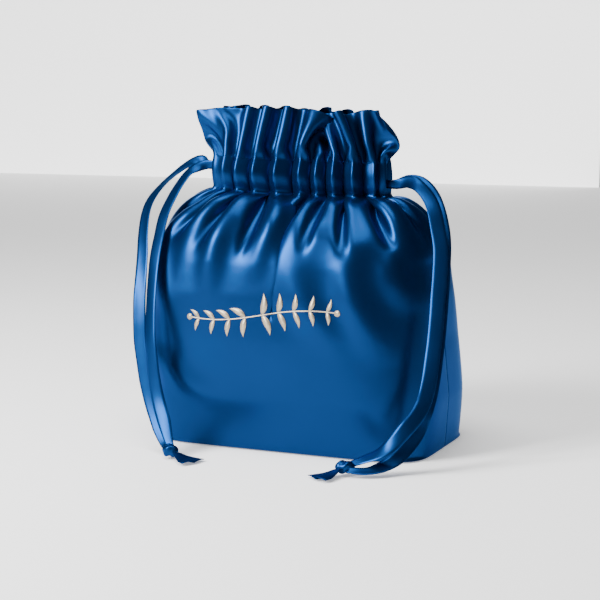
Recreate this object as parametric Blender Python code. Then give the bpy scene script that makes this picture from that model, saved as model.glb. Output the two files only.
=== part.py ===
"""A satin kinchaku pouch: a soft bag with a boxed base, a gathered neck and two flat drawstrings.

The bag is cut as two equal panels, front and back. They are sewn together down both sides and
across the middle of the base. Above the side seams the panels part at a slit on each side. Round
the neck each panel has a casing, a flat tunnel between two rows of stitches, and above it a frill.
Each drawstring is one flat satin tape. It goes once round the neck through both casings, comes out
at its own slit, and its two ends hang down that side and are tied together in one knot.

Metres, +Z up. The origin is on the surface that the bag stands on, under the middle of its overall
width and depth. The front panel faces -Y, and the left drawstring hangs on the -X side.
"""

import math
from collections import namedtuple

import bmesh
import bpy
from mathutils import Vector

# The bag's rings, each a closed oval: how high it is, half its width and half its depth, how
# square it is (2 is an ellipse), how far its pleats stand out and in, and how far its middle
# lies off the origin, along X.
Ring = namedtuple("Ring", "z half_width half_depth squareness pleat shift")

HEIGHT = 0.235
BASE_EDGE = 0.005  # the rounding under the base
CLOTH = 0.0011  # the wall: one layer of satin and the air it traps in its folds
FLOOR_CLOTH = 0.0012
PLEATS = 14
COLUMNS = 6 * PLEATS  # points round each ring
ARC_SAMPLES = 1440  # steps for measuring an oval's length

CASING_BOTTOM = 0.1765  # lower row of stitches
CASING_TOP = 0.1995  # upper row of stitches
NECK_HALF_WIDTH = 0.0665  # to the middle of the casing's tunnel
NECK_HALF_DEPTH = 0.0245
NECK_SHIFT = -0.0042  # the gathered neck leans to the left
BASE_SHIFT = 0.0052  # so the base lies to the right of the bag's middle
CASING_WALL = 0.0030  # from the tunnel's middle to the casing's outer or inner face
TUNNEL_GAP = 0.0030  # clear width of the tunnel between its two layers
TUNNEL_MARGIN = 0.0005  # cloth left above and below the tunnel, inside the stitches

SEAM_GAP = 0.0003  # between the two panels where they are sewn
SLIT_BOTTOM = 0.1700
SLIT_WIDTH = 0.0040

TAPE_WIDTH = 0.0100
TAPE_THICKNESS = 0.0006
TAPE_STEP = 0.0080  # distance between two sections of a hanging tape
UPPER_LANE = 0.1940  # height of each tape's middle inside the casing
LOWER_LANE = 0.1830
LANE_STEPS = 28  # sections along one half of the neck
SLIT_TURN = 0.0025  # radius of a tape's turn round the slit's edge
TURN_STEPS = 4  # sections in that turn
SLIT_OFFSET = 0.0010  # each leg's distance from the middle of its slit
FINE_STEPS = 24  # steps for measuring a route between two of its points

KNOT_SIZE = (0.013, 0.010, 0.009)  # length, width and height of the tied lump
KNOT_PINCH = (0.0035, 0.0045, 0.0065, 0.0085)  # tape widths where it enters the knot
SLIT_PINCH = (0.0080, 0.0055, 0.0040)  # and where it bunches up on its way to the slit
# A cut end: distance from the knot's middle, width, and height above the floor.
TAIL_SHAPE = [
    (0.0020, 0.0040, 0.0042),
    (0.0080, 0.0060, 0.0030),
    (0.0150, 0.0100, 0.0014),
    (0.0220, 0.0120, 0.0009),
]

BAG_BLUE = (0.012, 0.072, 0.185)
TAPE_BLUE = (0.014, 0.080, 0.200)
SATIN_ROUGHNESS = 0.42

# Each tape's two hanging strands, from inside the knot up to the slit: place, then the way its
# face is turned. The front strand comes out of the front casing and the back one out of the back.
LEFT_KNOT = (-0.0548, -0.1035, 0.0053)
LEFT_KNOT_TURN = -20  # degrees
LEFT_TAILS = [(-8, 0.0), (-34, 0.0011)]  # each cut end's direction in degrees, and its lift
LEFT_FRONT = [
    (-0.0548, -0.1010, 0.0060, 0.2, -1.0, 0.3),
    (-0.0585, -0.0985, 0.0100, 0.2, -1.0, 0.3),
    (-0.0650, -0.0925, 0.0208, 0.1, -1.0, 0.3),
    (-0.0725, -0.0865, 0.0335, 0.0, -1.0, 0.3),
    (-0.0775, -0.0830, 0.0475, -0.1, -1.0, 0.2),
    (-0.0806, -0.0805, 0.0615, -0.2, -1.0, 0.2),
    (-0.0835, -0.0775, 0.0760, -0.3, -1.0, 0.2),
    (-0.0856, -0.0735, 0.0900, -0.4, -1.0, 0.3),
    (-0.0872, -0.0690, 0.1045, -0.4, -1.0, 0.3),
    (-0.0888, -0.0635, 0.1185, -0.4, -1.0, 0.4),
    (-0.0902, -0.0570, 0.1325, -0.3, -0.9, 0.5),
    (-0.0914, -0.0485, 0.1465, -0.3, -0.8, 0.5),
    (-0.0925, -0.0385, 0.1605, -0.3, -0.8, 0.7),
    (-0.0918, -0.0250, 0.1740, -0.3, -0.7, 0.7),
    (-0.0905, -0.0160, 0.1820, -0.3, -0.6, 0.8),
    (-0.0885, -0.0090, 0.1880, -0.2, -0.6, 0.8),
    (-0.0835, -0.0040, 0.1920, 0.1, -0.8, 0.5),
    (-0.0775, -0.0010, 0.1940, 0.0, -1.0, 0.0),
]
LEFT_BACK = [
    (-0.0588, -0.1000, 0.0052, -0.2, 1.0, -0.3),
    (-0.0650, -0.0935, 0.0082, -0.2, 1.0, -0.3),
    (-0.0742, -0.0865, 0.0202, -0.1, 1.0, -0.2),
    (-0.0815, -0.0820, 0.0325, 0.0, 1.0, -0.2),
    (-0.0872, -0.0785, 0.0465, 0.0, 1.0, -0.2),
    (-0.0912, -0.0755, 0.0605, 0.0, 1.0, -0.2),
    (-0.0948, -0.0725, 0.0745, 0.0, 1.0, -0.2),
    (-0.0967, -0.0695, 0.0890, 0.0, 1.0, -0.2),
    (-0.0985, -0.0655, 0.1035, 0.0, 1.0, -0.3),
    (-0.1002, -0.0600, 0.1180, 0.1, 0.9, -0.3),
    (-0.1028, -0.0530, 0.1320, 0.2, 0.9, -0.4),
    (-0.1065, -0.0450, 0.1460, 0.3, 0.8, -0.4),
    (-0.1092, -0.0360, 0.1600, 0.4, 0.8, -0.5),
    (-0.1088, -0.0280, 0.1700, 0.4, 0.7, -0.7),
    (-0.1046, -0.0180, 0.1800, 0.4, 0.5, -0.8),
    (-0.0985, -0.0075, 0.1885, 0.3, 0.5, -0.8),
    (-0.0915, 0.0010, 0.1950, 0.1, 0.6, -0.8),
    (-0.0840, 0.0035, 0.1970, -0.1, 0.9, -0.4),
    (-0.0775, 0.0010, 0.1940, 0.0, 1.0, 0.0),
]
RIGHT_KNOT = (0.0712, -0.0995, 0.0053)
RIGHT_KNOT_TURN = 20  # degrees
RIGHT_TAILS = [(-132, 0.0), (-108, 0.0011)]
RIGHT_FRONT = [
    (0.0722, -0.0975, 0.0060, 0.2, -0.6, 0.8),
    (0.0810, -0.0940, 0.0095, 0.2, -0.5, 0.9),
    (0.0926, -0.0922, 0.0148, 0.2, -0.5, 0.9),
    (0.1003, -0.0893, 0.0212, 0.3, -0.7, 0.7),
    (0.1081, -0.0842, 0.0310, 0.4, -0.9, 0.4),
    (0.1128, -0.0770, 0.0388, 0.5, -1.0, 0.2),
    (0.1148, -0.0690, 0.0475, 0.5, -1.0, 0.2),
    (0.1157, -0.0630, 0.0590, 0.4, -1.0, 0.2),
    (0.1155, -0.0570, 0.0720, 0.3, -1.0, 0.2),
    (0.1152, -0.0510, 0.0850, 0.3, -1.0, 0.2),
    (0.1147, -0.0460, 0.0985, 0.3, -1.0, 0.2),
    (0.1138, -0.0410, 0.1115, 0.3, -1.0, 0.2),
    (0.1134, -0.0370, 0.1250, 0.3, -1.0, 0.2),
    (0.1122, -0.0320, 0.1425, 0.3, -0.9, 0.3),
    (0.1083, -0.0270, 0.1560, 0.4, -0.8, 0.4),
    (0.1040, -0.0220, 0.1675, 0.4, -0.7, 0.6),
    (0.0984, -0.0170, 0.1755, 0.3, -0.6, 0.7),
    (0.0900, -0.0110, 0.1820, 0.2, -0.6, 0.7),
    (0.0810, -0.0050, 0.1852, -0.2, -0.8, 0.4),
    (0.0740, -0.0015, 0.1842, -0.2, -1.0, 0.1),
    (0.0690, -0.0010, 0.1830, 0.0, -1.0, 0.0),
]
RIGHT_BACK = [
    (0.0735, -0.1030, 0.0048, -0.3, 0.7, -0.7),
    (0.0790, -0.1025, 0.0042, -0.3, 0.5, -0.9),
    (0.0890, -0.0980, 0.0044, -0.2, 0.3, -0.9),
    (0.0996, -0.0867, 0.0088, -0.3, 0.5, -0.8),
    (0.1071, -0.0782, 0.0180, -0.3, 0.8, -0.5),
    (0.1114, -0.0700, 0.0277, -0.4, 1.0, -0.3),
    (0.1142, -0.0665, 0.0380, -0.4, 1.0, -0.3),
    (0.1155, -0.0605, 0.0490, -0.4, 1.0, -0.2),
    (0.1160, -0.0555, 0.0610, -0.3, 1.0, -0.2),
    (0.1160, -0.0505, 0.0740, -0.3, 1.0, -0.2),
    (0.1158, -0.0455, 0.0870, -0.3, 1.0, -0.2),
    (0.1152, -0.0405, 0.1000, -0.3, 1.0, -0.2),
    (0.1144, -0.0355, 0.1130, -0.3, 1.0, -0.2),
    (0.1138, -0.0315, 0.1260, -0.3, 1.0, -0.3),
    (0.1125, -0.0260, 0.1440, -0.3, 0.9, -0.4),
    (0.1090, -0.0200, 0.1575, -0.4, 0.8, -0.5),
    (0.1030, -0.0130, 0.1700, -0.3, 0.7, -0.6),
    (0.0960, -0.0060, 0.1790, -0.3, 0.6, -0.8),
    (0.0870, -0.0010, 0.1848, -0.1, 0.7, -0.7),
    (0.0770, 0.0012, 0.1855, 0.0, 1.0, -0.2),
    (0.0690, 0.0010, 0.1830, 0.0, 1.0, 0.0),
]

OUTER_RINGS = [
    Ring(0.0000, 0.0945, 0.0545, 5.5, 0, BASE_SHIFT),
    Ring(0.0015, 0.0980, 0.0580, 5.5, 0, BASE_SHIFT),
    Ring(BASE_EDGE, 0.1000, 0.0600, 5.5, 0, BASE_SHIFT),
    Ring(0.0380, 0.1055, 0.0655, 5.5, 0, 0.0023),
    Ring(0.0780, 0.1055, 0.0655, 4.6, 0, -0.0023),
    Ring(0.1080, 0.1045, 0.0630, 4.0, 0, -0.0034),
    Ring(0.1300, 0.1015, 0.0585, 3.6, 0.0006, -0.0048),
    Ring(0.1480, 0.0975, 0.0515, 3.0, 0.0012, -0.0060),
    Ring(0.1620, 0.0895, 0.0420, 2.5, 0.0016, -0.0060),
    Ring(0.1720, 0.0770, 0.0325, 2.2, 0.0010, -0.0052),
]
FRILL_RINGS = [
    Ring(0.2035, 0.0675, 0.0255, 2.0, 0.0012, NECK_SHIFT),
    Ring(0.2120, 0.0690, 0.0265, 2.0, 0.0034, -0.0032),
    Ring(0.2230, 0.0715, 0.0290, 2.0, 0.0048, -0.0018),
    Ring(HEIGHT, 0.0750, 0.0325, 2.0, 0.0056, 0.0000),
]


def clear_scene():
    """Remove whatever the file holds."""
    for old in list(bpy.data.objects):
        bpy.data.objects.remove(old)


def satin(name, colour, roughness):
    """A plain satin material."""
    material = bpy.data.materials.new(name)
    material.use_nodes = True
    shader = material.node_tree.nodes["Principled BSDF"]
    shader.inputs["Base Color"].default_value = (*colour, 1.0)
    shader.inputs["Roughness"].default_value = roughness
    shader.inputs["Metallic"].default_value = 0.0
    return material


def add_object(name, mesh, material=None):
    """A new object in the scene that shows this mesh."""
    made = bpy.data.objects.new(name, mesh)
    bpy.context.scene.collection.objects.link(made)
    if material:
        mesh.materials.clear()
        mesh.materials.append(material)
    return made


def finished_mesh(name, shape):
    """The bmesh as a mesh, with its normals facing out."""
    bmesh.ops.recalc_face_normals(shape, faces=shape.faces)
    mesh = bpy.data.meshes.new(name)
    shape.to_mesh(mesh)
    shape.free()
    mesh.shade_smooth()
    mesh.set_sharp_from_angle(angle=math.radians(40))
    return mesh


def oval_point(half_width, half_depth, squareness, turn):
    """A point on the oval, at an angle from +X in radians."""
    c, s = math.cos(turn), math.sin(turn)
    power = 2 / squareness
    return Vector(
        (
            half_width * math.copysign(abs(c) ** power, c),
            half_depth * math.copysign(abs(s) ** power, s),
        )
    )


def oval(half_width, half_depth, squareness, count):
    """Points spread evenly along the oval's length, starting at +X, which is a side seam."""
    turns = [2 * math.pi * i / ARC_SAMPLES for i in range(ARC_SAMPLES + 1)]
    fine = [oval_point(half_width, half_depth, squareness, turn) for turn in turns]
    along = [0.0]
    for a, b in zip(fine, fine[1:]):
        along.append(along[-1] + (b - a).length)
    points, k = [], 0
    for i in range(count):
        wanted = along[-1] * i / count
        while along[k + 1] < wanted:
            k += 1
        share = (wanted - along[k]) / (along[k + 1] - along[k])
        points.append(fine[k].lerp(fine[k + 1], share))
    return points


def ring_points(ring, inward=0.0):
    """The ring's points, moved in by a wall's thickness. A pleat stands out and in across the edge."""
    width, depth = ring.half_width - inward, ring.half_depth - inward
    points = []
    for i, place in enumerate(oval(width, depth, ring.squareness, COLUMNS)):
        wave = -ring.pleat * math.cos(2 * math.pi * PLEATS * i / COLUMNS)
        normal = Vector((place.x / width**2, place.y / depth**2)).normalized()
        place = place + wave * normal
        points.append(Vector((place.x + ring.shift, place.y, ring.z)))
    return points


def raised(ring, rise):
    return ring._replace(z=ring.z + rise)


def wall_rings():
    """Every ring of the bag's wall in order: up the outside, over the rim and down the inside."""
    tunnel_low, tunnel_high = CASING_BOTTOM - TUNNEL_MARGIN, CASING_TOP + TUNNEL_MARGIN
    casing = [
        Ring(z, NECK_HALF_WIDTH, NECK_HALF_DEPTH, 2.0, 0, NECK_SHIFT)
        for z in (tunnel_low - 0.0012, tunnel_low + 0.0008, tunnel_high - 0.0008, tunnel_high + 0.0012)
    ]
    bulge = [0.6 * CASING_WALL, CASING_WALL, CASING_WALL, 0.6 * CASING_WALL]
    outer = [ring_points(ring) for ring in OUTER_RINGS]
    outer += [ring_points(ring, -b) for ring, b in zip(casing, bulge)]
    outer += [ring_points(ring) for ring in FRILL_RINGS]
    inner = [ring_points(ring, CLOTH) for ring in reversed(FRILL_RINGS)]
    inner += [ring_points(ring, b) for ring, b in zip(reversed(casing), bulge)]
    body = [raised(ring, -0.0006) for ring in reversed(OUTER_RINGS[3:])]
    inner += [ring_points(ring, CLOTH) for ring in body]
    inner.append(ring_points(raised(OUTER_RINGS[2], FLOOR_CLOTH), CLOTH))
    inner.append(ring_points(raised(OUTER_RINGS[0], FLOOR_CLOTH), 0.0))
    return outer + inner


def bag_wall():
    """The whole bag as one closed skin, before it is parted into its two panels."""
    shape = bmesh.new()
    rings = [[shape.verts.new(p) for p in points] for points in wall_rings()]
    for low, high in zip(rings, rings[1:]):
        for i in range(COLUMNS):
            j = (i + 1) % COLUMNS
            shape.faces.new((low[i], low[j], high[j], high[i]))
    shape.faces.new(rings[0])
    shape.faces.new(rings[-1])
    return finished_mesh("bag_wall", shape)


def hide_cutter(cutter):
    cutter.hide_render = True
    cutter.display_type = "WIRE"
    return cutter


def box_cutter(name, low, high):
    """A hidden box between two corners."""
    shape = bmesh.new()
    bmesh.ops.create_cube(shape, size=1.0)
    for vert in shape.verts:
        vert.co = Vector(
            (low[k] + (high[k] - low[k]) * (vert.co[k] + 0.5) for k in range(3))
        )
    return hide_cutter(add_object(name, finished_mesh(name, shape)))


def tunnel_cutter():
    """A hidden band the shape of the casing's tunnel, all round the neck."""
    shape = bmesh.new()
    low, high = CASING_BOTTOM, CASING_TOP
    corners = [(-1, low), (1, low), (1, high), (-1, high)]
    rings = []
    for side, z in corners:
        reach = side * TUNNEL_GAP / 2
        places = oval(NECK_HALF_WIDTH + reach, NECK_HALF_DEPTH + reach, 2.0, COLUMNS)
        rings.append([shape.verts.new((p.x + NECK_SHIFT, p.y, z)) for p in places])
    for a, b in zip(rings, rings[1:] + rings[:1]):
        for i in range(COLUMNS):
            j = (i + 1) % COLUMNS
            shape.faces.new((a[i], a[j], b[j], b[i]))
    return hide_cutter(add_object("tunnel_cutter", finished_mesh("tunnel_cutter", shape)))


def cut(target, cutter):
    modifier = target.modifiers.new(cutter.name, "BOOLEAN")
    modifier.operation = "DIFFERENCE"
    modifier.solver = "EXACT"
    modifier.object = cutter


def join(target, other):
    """Sew another closed shape onto this one."""
    modifier = target.modifiers.new(other.name, "BOOLEAN")
    modifier.operation = "UNION"
    modifier.solver = "EXACT"
    modifier.object = hide_cutter(other)


def build_panels(material):
    """The front and back panels, each half of the wall, with its tunnel and its slit edges."""
    wall = bag_wall()
    reach, seam, slit = 0.2, SEAM_GAP / 2, SLIT_WIDTH / 2
    tunnel = tunnel_cutter()
    slits = box_cutter("slit_cutter", (-reach, -slit, SLIT_BOTTOM), (reach, slit, 2 * HEIGHT))
    halves = {
        "front_panel": ((-reach, -seam, -reach), (reach, reach, 2 * reach)),
        "back_panel": ((-reach, -reach, -reach), (reach, seam, 2 * reach)),
    }
    for name, (low, high) in halves.items():
        panel = add_object(name, wall.copy(), material)
        cut(panel, box_cutter(name + "_cutter", low, high))
        cut(panel, slits)
        cut(panel, tunnel)


def catmull_rom(points, share, k):
    """The smooth curve through the points, at a share of the way from point k to point k + 1."""
    last = len(points) - 1
    p0, p1 = points[max(k - 1, 0)], points[k]
    p2, p3 = points[k + 1], points[min(k + 2, last)]
    t, t2, t3 = share, share**2, share**3
    return 0.5 * (
        2 * p1
        + (p2 - p0) * t
        + (2 * p0 - 5 * p1 + 4 * p2 - p3) * t2
        + (3 * p1 - p0 - 3 * p2 + p3) * t3
    )


def ribbon(sections, widths):
    """A closed flat strip that follows the (place, facing) sections, its face turned to facing."""
    shape = bmesh.new()
    rows = []
    last = len(sections) - 1
    for i, (place, facing) in enumerate(sections):
        before, after = sections[max(i - 1, 0)][0], sections[min(i + 1, last)][0]
        forward = (after - before).normalized()
        across = forward.cross(facing).normalized()
        normal = across.cross(forward).normalized()
        half = across * widths[i] / 2
        thick = normal * TAPE_THICKNESS / 2
        corners = (-half - thick, half - thick, half + thick, -half + thick)
        rows.append([shape.verts.new(place + corner) for corner in corners])
    for a, b in zip(rows, rows[1:]):
        for i in range(4):
            j = (i + 1) % 4
            # both faces of a twisted stretch are split along the same diagonal
            if i == 0:
                shape.faces.new((a[i], a[j], b[j]))
                shape.faces.new((a[i], b[j], b[i]))
            else:
                shape.faces.new((a[i], a[j], b[i]))
                shape.faces.new((a[j], b[j], b[i]))
    shape.faces.new(rows[0])
    shape.faces.new(rows[-1])
    return finished_mesh("ribbon", shape)

def strand(route):
    """(place, facing) pairs an even step apart along the smooth curve through a route."""
    places = [Vector(row[:3]) for row in route]
    facings = [Vector(row[3:]) for row in route]
    fine = []
    for k in range(len(route) - 1):
        for i in range(FINE_STEPS):
            share = i / FINE_STEPS
            fine.append((catmull_rom(places, share, k), facings[k].lerp(facings[k + 1], share)))
    fine.append((places[-1], facings[-1]))
    length = sum((b[0] - a[0]).length for a, b in zip(fine, fine[1:]))
    count = round(length / TAPE_STEP)
    kept, gone = [fine[0]], 0.0
    for a, b in zip(fine, fine[1:-1]):
        gone += (b[0] - a[0]).length
        if gone >= length * len(kept) / count:
            kept.append(b)
    return kept[:count] + [fine[-1]]


def slit_turn(lane, side):
    """A tape's turn round the slit's edge on the -X side, from its hanging leg to the casing."""
    y = SLIT_OFFSET + SLIT_TURN
    x = -NECK_HALF_WIDTH * math.sqrt(1 - (y / NECK_HALF_DEPTH) ** 2) - SLIT_TURN
    sections = []
    for i in range(TURN_STEPS + 1):
        turn = math.radians(90) * (1 - i / TURN_STEPS)
        c, s = math.cos(turn), math.sin(turn)
        place = Vector((x + SLIT_TURN * c, side * (y - SLIT_TURN * s), lane))
        sections.append((place, Vector((-c, side * s, 0.0))))
    return sections


def neck_loop(lane):
    """A tape's way round the neck from the -X slit: front casing, far slit, back casing."""
    places = oval(NECK_HALF_WIDTH, NECK_HALF_DEPTH, 2.0, 2 * LANE_STEPS)
    sections = []
    for k in range(1, 2 * LANE_STEPS):
        place = places[(LANE_STEPS + k) % (2 * LANE_STEPS)]
        outward = Vector((place.x / NECK_HALF_WIDTH**2, place.y / NECK_HALF_DEPTH**2, 0.0))
        sections.append((Vector((place.x, place.y, lane)), outward.normalized()))
    return sections


def round_neck(lane):
    """A tape's whole way from one leg at the -X slit to the other."""
    return slit_turn(lane, -1) + neck_loop(lane) + slit_turn(lane, 1)[::-1]


def shifted(sections):
    """The same sections round the neck where it leans."""
    aside = Vector((NECK_SHIFT, 0.0, 0.0))
    return [(place + aside, facing) for place, facing in sections]


def mirrored(sections):
    """The same sections on the other side of the bag."""
    flip = Vector((-1.0, 1.0, 1.0))
    return [(place * flip, facing * flip) for place, facing in sections]


def knot_lump(centre, turn):
    """The tied lump, a flattened ball turned about the upright."""
    shape = bmesh.new()
    bmesh.ops.create_uvsphere(shape, u_segments=12, v_segments=8, radius=1.0)
    c, s = math.cos(turn), math.sin(turn)
    length, width, height = KNOT_SIZE
    for vert in shape.verts:
        x, y, z = vert.co.x * length / 2, vert.co.y * width / 2, vert.co.z * height / 2
        vert.co = Vector(centre) + Vector((c * x - s * y, s * x + c * y, z))
    return finished_mesh("knot", shape)


def tail_strip(centre, turn, lift):
    """One cut end of the tape, from inside the knot out along the floor, wider at its cut."""
    sections, widths = [], []
    for reach, width, height in TAIL_SHAPE:
        out = Vector((math.cos(turn) * reach, math.sin(turn) * reach, 0.0))
        flat = Vector((centre[0], centre[1], height + lift))
        sections.append((flat + out, Vector((0.0, 0.0, 1.0))))
        widths.append(width)
    return ribbon(sections, widths)


def leg_widths(count):
    """The widths along one hanging leg, from the knot up to the slit."""
    plain = [TAPE_WIDTH] * (count - len(KNOT_PINCH) - len(SLIT_PINCH))
    return list(KNOT_PINCH) + plain + list(SLIT_PINCH)


def build_drawstring(name, material, front, lane, back, knot, knot_turn, tails):
    """One tape with the knot and the two cut ends that stand out of it."""
    sections = front + lane + back[::-1]
    widths = leg_widths(len(front)) + [TAPE_WIDTH] * len(lane) + leg_widths(len(back))[::-1]
    tape = add_object(name, ribbon(sections, widths), material)
    join(tape, add_object(name + "_knot", knot_lump(knot, math.radians(knot_turn))))
    for i, (turn, lift) in enumerate(tails):
        end = tail_strip(knot, math.radians(turn), lift)
        join(tape, add_object(name + "_end_" + str(i), end))


def build_drawstrings(material):
    """The left tape in the upper lane, and the right tape in the lower lane."""
    lane = shifted(round_neck(UPPER_LANE))
    legs = strand(LEFT_FRONT), lane, strand(LEFT_BACK)
    build_drawstring("left_drawstring", material, *legs, LEFT_KNOT, LEFT_KNOT_TURN, LEFT_TAILS)
    lane = shifted(mirrored(round_neck(LOWER_LANE)))
    legs = strand(RIGHT_FRONT), lane, strand(RIGHT_BACK)
    build_drawstring("right_drawstring", material, *legs, RIGHT_KNOT, RIGHT_KNOT_TURN, RIGHT_TAILS)


def main():
    clear_scene()
    build_panels(satin("bag_satin", BAG_BLUE, SATIN_ROUGHNESS))
    build_drawstrings(satin("tape_satin", TAPE_BLUE, SATIN_ROUGHNESS))


main()
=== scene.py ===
"""A satin kinchaku pouch with a gathered neck, a frill and two flat ribbon drawstrings.

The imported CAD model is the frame. The two panels are one cut of cloth each, simulated here as a
grid of points from the boxed base up to the frill's hem, over a soft filling. Each drawstring is
its hanging strands, its knot and the part that runs inside the casing.
"""

import math

import bmesh
import bpy
import numpy as np
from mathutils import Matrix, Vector
from mathutils.bvhtree import BVHTree


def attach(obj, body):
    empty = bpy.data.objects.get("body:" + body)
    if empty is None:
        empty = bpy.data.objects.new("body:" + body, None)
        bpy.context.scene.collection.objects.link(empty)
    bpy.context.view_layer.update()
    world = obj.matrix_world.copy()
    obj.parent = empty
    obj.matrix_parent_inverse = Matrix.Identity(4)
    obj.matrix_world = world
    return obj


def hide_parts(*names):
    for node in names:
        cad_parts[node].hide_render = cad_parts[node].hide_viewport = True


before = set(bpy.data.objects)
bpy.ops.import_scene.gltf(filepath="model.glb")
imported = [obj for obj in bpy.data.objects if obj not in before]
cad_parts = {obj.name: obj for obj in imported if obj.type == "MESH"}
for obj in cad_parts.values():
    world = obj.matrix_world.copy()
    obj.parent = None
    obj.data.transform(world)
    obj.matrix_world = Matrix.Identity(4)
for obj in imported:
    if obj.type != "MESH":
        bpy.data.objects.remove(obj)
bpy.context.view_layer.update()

# Cloth, in metres
PANEL_COLUMNS = 112  # spaces between points across one panel
WALL_ROWS = 66
CASING_ROWS = 8
FRILL_ROWS = 13
WALL_CLOTH = 0.1865  # cloth from the base's edge to the casing's lower stitches
CASING_CLOTH = 0.0220
FRILL_CLOTH = 0.0375
THICKNESS = 0.00035
FLOOR_CLEAR = 0.0006  # the cloth's middle surface over the floor
CASING_LOW = 0.1765  # height of the lower stitches
CASING_HIGH = 0.1995  # height of the upper stitches
CASING_BULGE = 0.16  # how much deeper the casing is half way between its stitches
CASING_SPREAD = 0.012  # and how much wider
CASING_TILT = 0.028  # the casing's fall towards the right
RIDGE_LIFT = 0.0012  # how far each gather's ridge stands over its valley, along the stitches
NECK_A = 0.0665  # half width to the middle of the gathers
NECK_B = 0.0245  # half depth
NECK_SHIFT = -0.0042
NECK_FLOW = (-0.30, 0.25)  # how far gathers lean over their valleys, and to one side
SHOULDER_FLOW = (-0.15, 0.0)
HEM_FLOW = (-0.25, 0.2)
SEAM_RISE = 1.0  # height of a fold at a seam, in millimetres
BASE_PERIMETER = 0.3010  # of one panel's half of the base edge

# The filled body: height, half width, half depth, squareness, shift along X, and how far cloth may
# sink in towards the filling or swell out from it.
BODY = np.array(
    [
        (0.0000, 0.1010, 0.0605, 6.5, 0.0052, 0.0008, 0.0005),
        (0.0050, 0.1015, 0.0612, 6.5, 0.0052, 0.0010, 0.0010),
        (0.0380, 0.1055, 0.0660, 6.0, 0.0023, 0.0030, 0.0015),
        (0.0780, 0.1055, 0.0655, 4.6, -0.0023, 0.0050, 0.0020),
        (0.1080, 0.1045, 0.0630, 4.0, -0.0034, 0.0070, 0.0030),
        (0.1300, 0.1015, 0.0585, 3.6, -0.0048, 0.0090, 0.0045),
        (0.1480, 0.0995, 0.0525, 3.0, -0.0060, 0.0090, 0.0060),
        (0.1620, 0.0935, 0.0440, 2.5, -0.0060, 0.0090, 0.0070),
        (0.1720, 0.0830, 0.0345, 2.2, -0.0052, 0.0080, 0.0080),
        (0.1765, 0.0700, 0.0270, 2.0, -0.0042, 0.0080, 0.0080),
    ]
)
# Where the cloth's folds stand out, as angles from +X, and how far, in millimetres: along the
# casing, on the shoulder, and along the frill's hem.
FRONT_NECK = [
    (205, 2.5), (222, 3.5), (236, 4.0), (251, 5.5), (266, 6.0), (281, 4.5),
    (291, 3.5), (302, 4.5), (316, 5.5), (334, 5.0), (349, 3.0),
]
FRONT_SHOULDER = [(203, 5.0), (228, 7.0), (253, 3.5), (271, 6.5), (293, 6.0), (319, 6.0), (344, 5.0)]
FRONT_HEM = [(214, 7.5), (243, 7.0), (262, 5.0), (281, 7.0), (301, 8.0), (333, 8.5)]
BACK_NECK = [
    (12, 3.0), (30, 4.5), (44, 3.5), (58, 5.5), (70, 4.5), (84, 6.0),
    (97, 4.0), (110, 5.0), (125, 4.5), (141, 5.5), (157, 4.0), (170, 2.5),
]
BACK_SHOULDER = [(18, 5.0), (40, 6.0), (64, 5.0), (86, 6.5), (108, 4.5), (132, 6.5), (158, 5.0)]
BACK_HEM = [(20, 8.0), (47, 7.0), (70, 8.0), (94, 7.0), (118, 8.5), (150, 8.0)]
SHOULDER_HEIGHT = 0.1500
SHOULDER_SHARE = 0.855  # of the wall's cloth, from the base
SMOOTH_SHARE = 0.50  # below this the first shape has no gathers
SHOULDER_EASE = 1.04  # power that spaces the rows up to the shoulder
SHOULDER_BOW = 0.004  # how far the cloth arches between shoulder and casing
# Cloth along one panel's wall, and how wide it is there; above that the gathered lines say
WALL_STOPS = [0, 0.03, 0.08, 0.155]
WALL_WIDTHS = [BASE_PERIMETER, 0.308, 0.313, 0.312]
GATHER_STOP = 0.172
GATHER_WIDTH = 0.31
FRILL_STOP = 0.02  # cloth from the casing to half way between the neck's line and the hem's
CUT_STOP = 0.27  # past the end of the cloth
PRESSURE = 11.0  # of the filling, for each unit of the cloth's mass
GRAVITY = 1.2  # the filling carries most of the cloth's weight
HEM = (0.2390, 0.0670, 0.0315, 2.0, 0.0030)  # height, half width, half depth, squareness, shift

# Long folds down each panel: x and height of the upper end, the middle and the lower end, then the
# half width and how far the ridge stands out.
FRONT_FOLDS = [
    ((-0.030, 0.178), (-0.058, 0.168), (-0.080, 0.150), 0.0075, 0.0045),
    ((-0.030, 0.176), (-0.042, 0.145), (-0.046, 0.105), 0.0095, 0.0045),
    ((-0.080, 0.160), (-0.090, 0.130), (-0.076, 0.086), 0.0090, 0.0045),
    ((0.000, 0.176), (-0.004, 0.150), (-0.014, 0.118), 0.0075, 0.0030),
    ((0.026, 0.176), (0.044, 0.166), (0.054, 0.138), 0.0060, 0.0040),
    ((0.039, 0.176), (0.074, 0.166), (0.086, 0.132), 0.0075, 0.0045),
    ((0.084, 0.138), (0.086, 0.122), (0.099, 0.100), 0.0080, 0.0040),
    ((0.056, 0.140), (0.064, 0.104), (0.090, 0.066), 0.0110, 0.0035),
    ((0.016, 0.132), (0.030, 0.100), (0.062, 0.076), 0.0120, 0.0022),
    ((-0.098, 0.066), (-0.072, 0.050), (-0.036, 0.032), 0.0110, 0.0022),
]
BACK_FOLDS = [
    ((-0.034, 0.178), (-0.060, 0.166), (-0.082, 0.140), 0.0080, 0.0045),
    ((-0.012, 0.176), (-0.030, 0.140), (-0.058, 0.100), 0.0100, 0.0040),
    ((0.010, 0.176), (0.014, 0.145), (0.004, 0.108), 0.0085, 0.0035),
    ((0.034, 0.176), (0.052, 0.150), (0.060, 0.108), 0.0095, 0.0045),
    ((0.080, 0.158), (0.090, 0.130), (0.078, 0.092), 0.0090, 0.0040),
    ((-0.070, 0.110), (-0.040, 0.085), (0.010, 0.074), 0.0120, 0.0025),
]
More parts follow.
